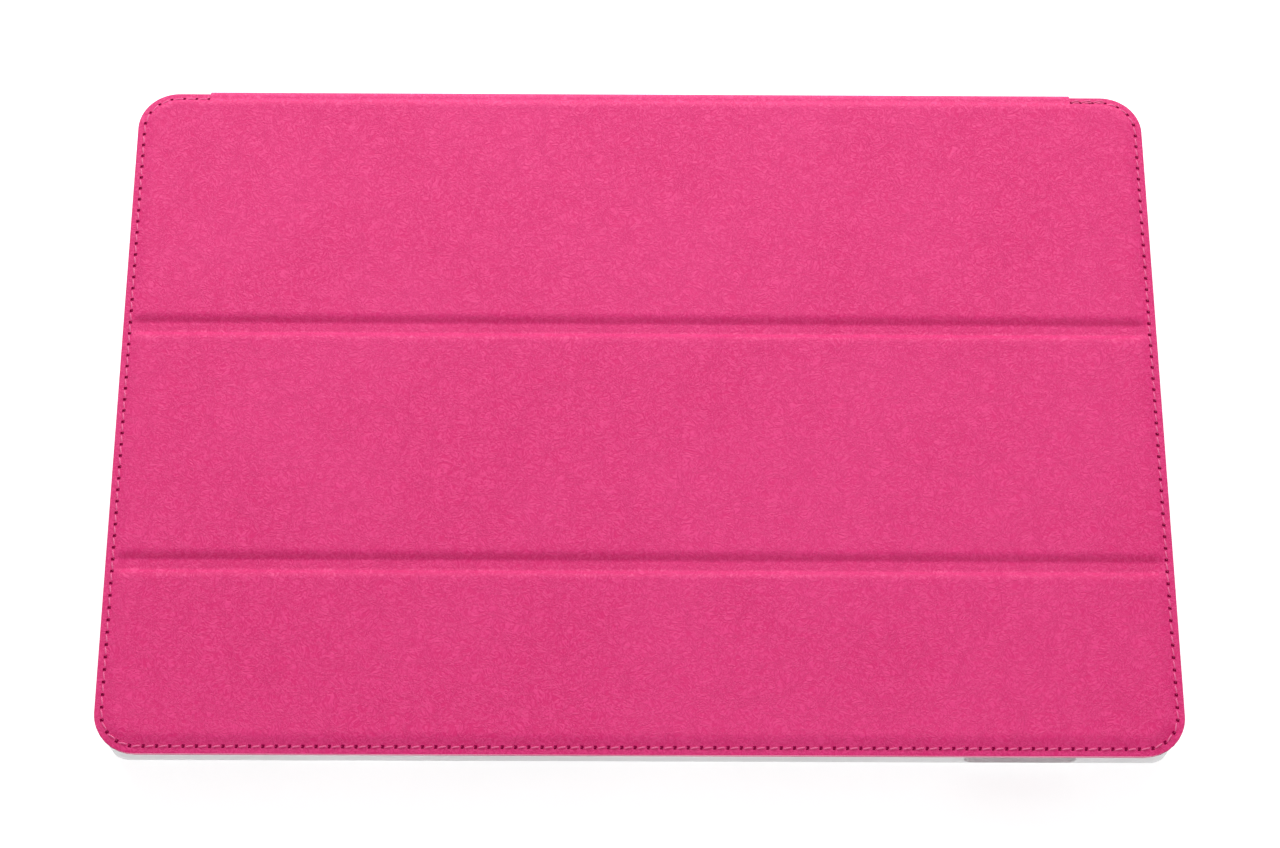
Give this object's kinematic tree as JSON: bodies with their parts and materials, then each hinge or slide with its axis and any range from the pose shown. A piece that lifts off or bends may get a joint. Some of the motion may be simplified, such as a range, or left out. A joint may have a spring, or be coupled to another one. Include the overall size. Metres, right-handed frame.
{
  "type": "tablet folio case",
  "caption": "Folding stand case for a tablet: stitched leather cover with stiff panels and a soft spine on a clip-in translucent back shell.",
  "frame": {"origin": "centre of the closed case's footprint, on the back face of the shell", "axes": "+X along the spine, +Y from the free edge toward the spine, +Z from the back of the shell up through the closed cover"},
  "size_m": [0.252, 0.1778, 0.0131],
  "materials": {
    "pink_leather": "fine-grained soft synthetic leather, semi-matte",
    "microfibre_lining": "short brushed nap, matte",
    "needle_thread": "twisted sewing thread",
    "bobbin_thread": "twisted sewing thread",
    "shell_plastic": "frosted translucent polycarbonate",
    "board_plastic": "plain dark sheet",
    "adhesive": "pale pressure-sensitive film",
    "steel_plate": "brushed",
    "magnet_metal": "bright nickel plate"
  },
  "bodies": {
    "shell": {"back_shell": "shell_plastic", "flap_adhesive": "adhesive", "flap_skin": "pink_leather"},
    "spine_lower": {"spine_lower_skin": "pink_leather", "spine_lower_lining": "microfibre_lining"},
    "spine_upper": {"spine_upper_skin": "pink_leather", "spine_upper_lining": "microfibre_lining"},
    "panel_1": {"panel_1_skin": "pink_leather", "panel_1_board": "board_plastic", "panel_1_lining": "microfibre_lining", "panel_1_needle_thread": "needle_thread", "panel_1_bobbin_thread": "bobbin_thread", "stand_plates": "steel_plate"},
    "panel_2": {"panel_2_skin": "pink_leather", "panel_2_board": "board_plastic", "panel_2_lining": "microfibre_lining", "panel_2_needle_thread": "needle_thread", "panel_2_bobbin_thread": "bobbin_thread"},
    "panel_3": {"panel_3_skin": "pink_leather", "panel_3_board": "board_plastic", "panel_3_lining": "microfibre_lining", "panel_3_needle_thread": "needle_thread", "panel_3_bobbin_thread": "bobbin_thread", "stand_magnets": "magnet_metal", "wake_magnet": "magnet_metal"}
  },
  "joints": [
    {"name": "spine_base_hinge", "type": "hinge", "parent": "shell", "child": "spine_lower", "pos_m": [0, 0.08809, 0.00081], "axis": [-1, 0, 0], "range_deg": [0, 98]},
    {"name": "spine_middle_bend", "type": "hinge", "parent": "spine_lower", "child": "spine_upper", "pos_m": [0, 0.089, 0.00605], "axis": [-1, 0, 0], "range_deg": [0, 158]},
    {"name": "cover_hinge", "type": "hinge", "parent": "spine_upper", "child": "panel_1", "pos_m": [0, 0.08809, 0.01129], "axis": [-1, 0, 0], "range_deg": [0, 104]},
    {"name": "fold_1", "type": "hinge", "parent": "panel_1", "child": "panel_2", "pos_m": [0, 0.0211, 0.01325], "axis": [1, 0, 0], "range_deg": [-138.5, 0]},
    {"name": "fold_2", "type": "hinge", "parent": "panel_2", "child": "panel_3", "pos_m": [0, -0.04165, 0.01325], "axis": [1, 0, 0], "range_deg": [-107, 0]}
  ]
}
